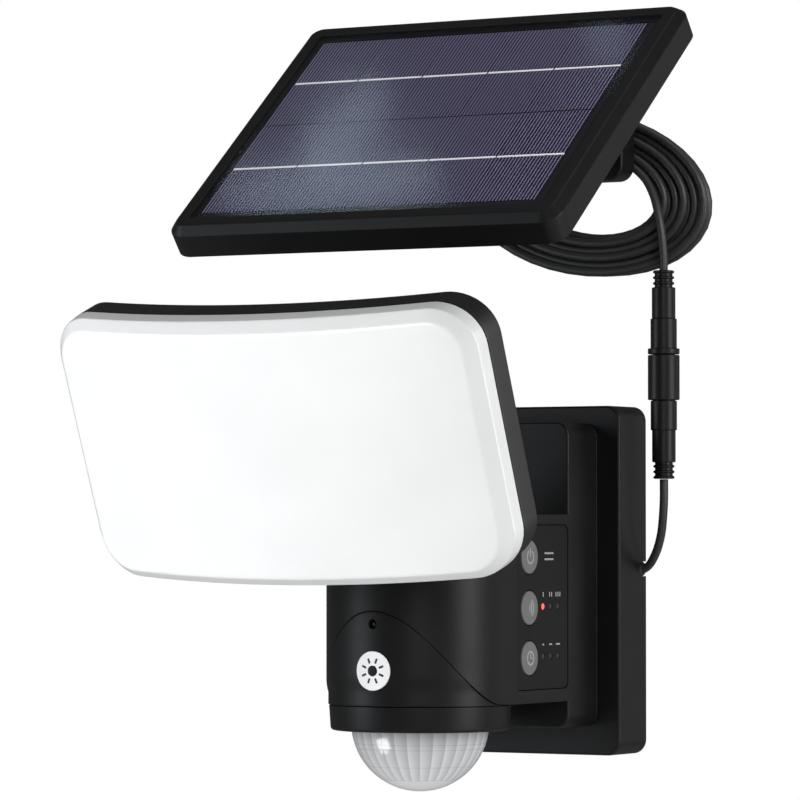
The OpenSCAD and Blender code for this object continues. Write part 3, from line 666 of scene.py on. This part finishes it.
cover_levels = ([(0, 0.35), (0.003, 0.1), (0.01, 0)] + [(k / 24, 0) for k in range(1, 24)]
                + [(0.99, 0), (1, 0.15), (1, 2.2), (0.5, 2.2), (0, 2.2)])
at_eye = wall_place(y=COLUMN_Y, z=EYE_Z)
eye_cut = lathe([(1.5, -38), (1.5, -39.2), (2.3, -40.5), (2.6, -41)], at_eye, 40)
cover = strip_solid([cover_ring(level, inset) for level, inset in cover_levels])
piece("cover", cover, black, "lamp_body", ["front_cover"],
      [eye_cut, rod(1.5, at_eye, -38.5, -30)])
eye_profile = [(1.6, -33), (1.6, -38), (1.3, -38.6), (0.7, -38.9), (0.1, -39)]
piece("light_eye", lathe(eye_profile, at_eye, 32), smoked, "lamp_body", ["light_sensor"])


def on_badge(u, v, t):
    """Point on the column's round front around the badge's middle, t above the surface."""
    a, r = u / BODY_R, BODY_R + t
    return (r * math.sin(a), COLUMN_Y - r * math.cos(a), BADGE_Z + v)


def disc(r, place, t0, t1, edge, rows=6):
    """Thin round plate whose face follows a curved surface."""
    inner = [r * (k + 0.3) / rows for k in range(rows)]
    levels = [(rr, t0) for rr in inner] + [(r, t0), (r, t1 - edge), (r - edge, t1)]
    levels += [(rr, t1) for rr in inner[::-1]]
    return loft([[place(u, v, t) for u, v in circle(rr)] for rr, t in levels])


def stroke(points, width, place, t0, t1):
    """Thin raised line along points (u, v)."""
    p = [Vector(q) for q in points]
    left, right = [], []
    for i, q in enumerate(p):
        d = (p[min(i + 1, len(p) - 1)] - p[max(i - 1, 0)]).normalized() * width / 2
        left.append((q.x - d.y, q.y + d.x))
        right.append((q.x + d.y, q.y - d.x))
    outline = right + left[::-1]
    return loft([[place(u, v, t) for u, v in outline] for t in (t0, t1)])


piece("badge_disc", disc(8.3, on_badge, -0.5, 0.1, 0.1), badge_white, "lamp_body", ["badge"])
sun = [disc(2.3, on_badge, 0.05, 0.16, 0.03)]
for k in range(8):
    a = math.radians(45 * k + 22.5)
    beam = [(r * math.cos(a), r * math.sin(a)) for r in (3.4, 4.4, 5.6)]
    sun.append(stroke(beam, 0.9, on_badge, 0.05, 0.16))
piece("badge_sun", join(*sun), smooth_black, "lamp_body", ())


# ---- Ring, dome and what shows through it ----

sensor_ring = [(30.2, -62.9), (30.4, -63.2), (36.9, -63.4), (37.6, -63.25), (38.2, -62.8),
               (38.5, -62.1), (38.75, -58), (39.1, -53.1), (39.0, -52.7), (38.7, -52.5),
               (34, -52.5), (34, -60.1), (30.2, -60.1)]
piece("ring", lathe(sensor_ring, z_place(0, COLUMN_Y), 144, True), black, "lamp_body",
      ["sensor_ring"])


def dome_shell(per_sector=6):
    """Half ball whose wall is stepped into rows of lens segments."""
    n = DOME_SECTORS * per_sector

    def ring(level, radius_at):
        b = math.radians(level)
        result = []
        for i in range(n):
            a, r = 2 * math.pi * i / n + DOME_TURN, radius_at(i)
            result.append((r * math.cos(b) * math.cos(a), COLUMN_Y + r * math.cos(b) * math.sin(a),
                           DOME_Z - r * math.sin(b)))
        return result

    def stepped(low, k):
        along, depth = abs(k / 5 - 0.5) * 2, 0.06 if low < DOME_ROWS[-1] else 0
        across = [abs(i / per_sector - 0.5) * 2 for i in range(per_sector)]
        return lambda i: DOME_R - depth * across[i % per_sector] ** 2 - 0.04 * along ** 3

    outer = [ring(low + (high - low) * k / 5, stepped(low, k))
             for low, high in zip(DOME_ROWS, DOME_ROWS[1:] + (84,)) for k in range(6)]
    inner = [ring(level, lambda i: DOME_R - DOME_WALL)
             for level in (84, 75, 66, 57, 48, 39, 30, 20, 10, 0)]
    points, faces = loft(outer + inner, closed=True)
    last = len(outer) * n
    faces = [f for f in faces if not (min(f) >= last - n and max(f) < last + n)]
    return points, faces + [list(range(last - n, last))[::-1], list(range(last, last + n))]


piece("dome", dome_shell(), lens, "lamp_body", ["sensor_dome"], angle=18)


# ---- Keypad ----

def button_hole(z):
    return lathe([(7.5, 30), (7.5, 39.7), (7.85, 40.05), (8, 42)], x_place(BUTTON_Y, z), 64)


keypad_slab = slab(round_rect(KEYPAD_W, KEYPAD_H, 3.5, n=10), x_place(KEYPAD_Y, KEYPAD_Z), 37.6,
                   KEYPAD_FACE, 0.3, 0.1)
piece("keypad_face", keypad_slab, matt_black, "lamp_body", ["keypad"],
      [button_hole(z) for z in BUTTON_ROWS]
      + [rod(1.55, x_place(y, z), 30, 45, 32) for y in LED_YS for z in LED_ZS])


def on_side(x):
    """Places (u, v, t) on the keypad's side; u runs to the back, as it looks from that side."""
    return lambda u, v, t: (x + t, u, v)


CAP_PROFILE = [(6.9, 36), (7.3, 36.3), (7.3, 40.1), (7.22, 40.4), (7.0, 40.6), (6.6, 40.68),
               (0.05, 40.8)]


def button_piece(name, z, body, symbol):
    """A button's cap with its flange, and the symbol printed on it."""
    cap = lathe(CAP_PROFILE, x_place(BUTTON_Y, z), 72)
    flange = rod(8.4, x_place(BUTTON_Y, z), 36.3, 37.2, 64)
    piece(f"{name}_cap", join(cap, flange), grey, body, [f"button_{name}"])
    marks = [stroke([(BUTTON_Y + u, z + v) for u, v in line], 0.8, on_side(40.72), -0.2, 0.12)
             for line in symbol]
    piece(f"{name}_mark", join(*marks), print_white, body, ())


power = [arc(0, 0, 2.8, 118, 422, 28), [(0, 3.7), (0, 1.8), (0, 0.2)]]
waves = [arc(-1.9, 0, r, -48, 48, 12) for r in (1.4, 3.0, 4.6)]
clock = [arc(0, 0, 2.8, 90, 450, 32), [(0, 1.9), (0, 0.8), (0, -0.1)],
         [(-0.2, 0), (0.7, 0), (1.5, 0)]]
button_piece("mode", BUTTON_ROWS[0], "mode_button", power)
button_piece("sens", BUTTON_ROWS[1], "sens_button", waves)
button_piece("time", BUTTON_ROWS[2], "time_button", clock)


LED_PROFILE = [(1.45, 32), (1.45, 39.7), (1.2, 40.05), (0.6, 40.18), (0.05, 40.2)]


def led_piece(name, spots, material, node):
    """Indicator lights at their spots (y, z) on the keypad."""
    dots = [lathe(LED_PROFILE, x_place(y, z), 24) for y, z in spots]
    piece(name, join(*dots), material, "lamp_body", [node])


led_piece("led_lit", [(LED_YS[0], LED_ZS[0])], led_red, "lit_led")
led_piece("leds_dark", [(y, z) for y in LED_YS for z in LED_ZS if (y, z) != (LED_YS[0], LED_ZS[0])],
          led_off, "status_leds")


def label(points, width):
    """Line printed on the keypad's face."""
    return stroke(points, width, on_side(KEYPAD_FACE), -0.1, 0.05)


labels = []
for k, y in enumerate(LED_YS):
    labels += [label([(y - 0.9 * k + 1.8 * j, z) for z in (-6.6, -5.6, -4.6)], 0.75)
               for j in range(k + 1)]
    labels.append(label([(y + u, -27.2) for u in (-0.8 - 0.5 * k, 0, 0.8 + 0.5 * k)], 0.7))
labels += [label([(y, z) for y in (-74.6, -70.6, -66.6)], 0.8) for z in (12.2, 9.6)]
piece("keypad_print", join(*labels), print_white, "lamp_body", ())


# ---- Head ----

def head_outline(inset):
    w, h, r = HEAD_W / 2 - inset, HEAD_H / 2 - inset, HEAD_R - inset
    upper = (arc(r - w, h - r, r, 180, 90, 12) + [((w - r) * (i / 14 - 1), h) for i in range(1, 28)]
             + arc(w - r, h - r, r, 90, 0, 12))
    return upper + [(u, -v) for u, v in upper[::-1]]


def bend(p, depth):
    a = p[0] / HEAD_CURVE
    return in_head((HEAD_CURVE * math.sin(a), HEAD_CURVE - HEAD_CURVE * math.cos(a) - depth, p[1]))


def head_loft(levels, closed=False):
    """Solid through head outlines, each (depth, inset), its bent ends closed by upright strips."""
    rings = [[bend(p, depth) for p in head_outline(inset)] for depth, inset in levels]
    points, faces = loft(rings, closed, caps=False)
    if not closed:
        n = len(rings[0])
        last = (len(rings) - 1) * n
        strips = [[i, i + 1, n - 2 - i, n - 1 - i] for i in range(n // 2 - 1)]
        faces += [strip[::-1] for strip in strips]
        faces += [[last + i for i in strip] for strip in strips]
    return points, faces


boss = slab(round_rect(60, 48, 6, y=HINGE[1]), head_place(wall_place()), 11.2, 15.5, 0.8, 0.1)
back_edge = [(-12.8 + t, 0.2 + i) for t, i in rounding(1.5, 5)[::-1]]
back = head_loft([(-11, 4), (-11, 3.4), (0, 3.2), (0, 0.3), (-0.3, 0)] + back_edge)
piece("housing", join(back, boss), black, "head", ["head_housing"], angle=40)
piece("seal", head_loft([(0.02, 2.9), (0.02, 0.6), (0.78, 0.6), (0.78, 2.9)], True), rubber, "head",
      ["head_seal"])
front_edge = [(9.7, 14), (9.7, 6.4), (6.6, 2.6), (0.8, 2.1), (0.8, 0.25), (1.05, 0), (6.9, 0.5),
              (7.4, 0.72), (7.85, 1.1), (11.05, 4.45), (11.45, 4.95), (11.67, 5.7), (11.7, 6.8),
              (11.7, 14)]
piece("opal_front", head_loft(front_edge), opal, "head", ["diffuser"], angle=40)


# ---- Solar panel ----

flat = panel_place(z_place())
frame_levels = [(-13.4, 0.4), (-13, 0), (-2.9, 0), (-2.4, 0.12), (-2.05, 0.45), (0.7, 3.1),
                (1.05, 3.5), (1.2, 4), (1.2, 8.4), (1.05, 8.8), (0.7, 9), (-0.7, 9), (-0.7, 11.8),
                (-4, 11.8), (-4, 2), (-13.4, 2)]


def panel_ring(level, inset):
    """Ring of the panel's frame, whose corners never get quite sharp."""
    r = max(PANEL_R - inset, 1.2)
    outline = round_rect(PANEL_W - 2 * inset, PANEL_H - 2 * inset, r, n=10)
    return [flat(u, v, level) for u, v in outline]


piece("frame_rim", loft([panel_ring(t, i) for t, i in frame_levels], closed=True), black,
      "solar_panel", ["panel_frame"])
piece("glass_pane", slab(round_rect(171.2, 139.7, 1), flat, -0.6, 0.4, 0.2), glass, "solar_panel",
      ["panel_glass"])


# ---- Foot, lugs, knobs ----

def stadium(r, x0, x1, n=16):
    """Outline with a round end at x0 and a square end at x1."""
    return arc(x0, 0, r, 90, 270, n) + [(x1, -r), (x1, r)]


foot_slab = slab(round_rect(85.4, 69.2, 6.6, FOOT_X, 211.4, 10), wall_place(), -26, FOOT_BACK,
                 0.5, 1.2)
posts = [slab(round_rect(w, h, 2, x, z), wall_place(), FOOT_BACK - 1, 0, 0.5, 0.1)
         for w, h, x, z in ((42, 8, 14.5, 182.4), (72, 26, FOOT_X, 230))]
arm = slab(stadium(7, 0, 87), x_place(*PIVOT, FOOT_X), -7, 7, 0.8)
piece("foot", join(foot_slab, *posts, arm), black, "lamp_body", ["panel_foot"],
      [rod(4.2, wall_place(FOOT_X + s * x, 0, z), -30, -22) for x, z in ((12, 182), (27, 232))
       for s in (-1, 1)])


def lobed(r, count, depth, n=96):
    """Round outline with shallow dips, as a knob's grip has."""
    result = []
    for i in range(n):
        a = 2 * math.pi * i / n
        rr = r - depth * (0.5 - 0.5 * math.cos(count * a)) ** 2
        result.append((rr * math.cos(a), rr * math.sin(a)))
    return result


def knob(name, x, r, bore, centre, body, node):
    grip = slab(lobed(r, 6, r * 0.16), x_place(*centre), x, x + 9, 1.2)
    piece(name, grip, black, body, [node],
          [rod(bore, x_place(*centre), x - 1, x + 7.5)])


knob("head_knob", 16.9, 11, 3.05, in_head((0, *HINGE))[1:], "tilt_clamp_knob", "tilt_knob")
knob("foot_knob", 22.8, 6.6, 2.55, PIVOT, "panel_clamp_knob", "panel_knob")

lugs = []
for s in (-1, 1):
    x0, x1 = sorted((s * 7.4, s * 12.4))
    tab = stadium(7, PIVOT_DROP, PANEL_BACK)
    lugs.append(slab(tab, panel_place(lambda u, v, t: (t, v, u)), x0, x1, 0.8))
    lugs.append(slab(round_rect(22.6, 32, 3, s * 18.7), flat, PANEL_BACK - 3, PANEL_BACK, 0.6))
along_pivot = panel_place(lambda u, v, t: (t, u, PIVOT_DROP + v))
piece("lugs", join(*lugs), black, "solar_panel", ["panel_lugs"],
      [rod(7, along_pivot, 12.5, 31)])
piece("box_on_back", slab(round_rect(22, 28, 2.5, -45, 0), flat, -26.5, PANEL_BACK, 0.1, 1.2),
      black, "solar_panel", ["junction_box"])
gland_profile = [(2.0, -60), (3.6, -61), (3.6, -65.5), (3.2, -67), (2.6, -68), (2.0, -68)]
gland = join(lathe([(5.2, -56), (5.2, -61.2), (4.6, -62)], along_pivot, 6),
             lathe(gland_profile, along_pivot, 40, True))
piece("gland", gland, smooth_black, "solar_panel", ["panel_gland"])


# ---- Materials of the CAD pieces that stay as they are ----

for names, material in (
        ("wall_bracket lock_screws body_screws motion_detector swivel_nut head_bracket_screws "
         "tilt_washers tilt_bolt foot_screws lug_screws pivot_bolt", steel),
        ("body_seal swivel_washer", rubber), ("sensor_board control_board main_board", board),
        ("button_switches battery_holder back_sheet", dark), ("battery_cells", sleeve),
        ("led_boards", board_white), ("led_chips", phosphor), ("heat_spreader", aluminium),
        ("swivel_arm head_bracket panel_back", black), ("solar_cells", cell),
        ("cell_ribbons", ribbon)):
    for name in names.split():
        nodes[name].data.materials.clear()
        nodes[name].data.materials.append(material)

# Some lights are for a few pieces only, so that the black stays deep.
for lights, names in (([front_light], ("opal_front", "badge_disc")),
                      ([dome_light, dome_glint], ("dome",)),
                      (glows, ("glass_pane",)),
                      ([lead_light], ("solar_lead", "tail_lead")),
                      ([rim_light], ("opal_front", "housing")),
                      ([panel_light], ("solar_cells", "cell_ribbons"))):
    lit = bpy.data.collections.new("lit_" + lights[0].name)
    for name in names:
        lit.objects.link(bpy.data.objects[name])
    for light in lights:
        light.light_linking.receiver_collection = lit
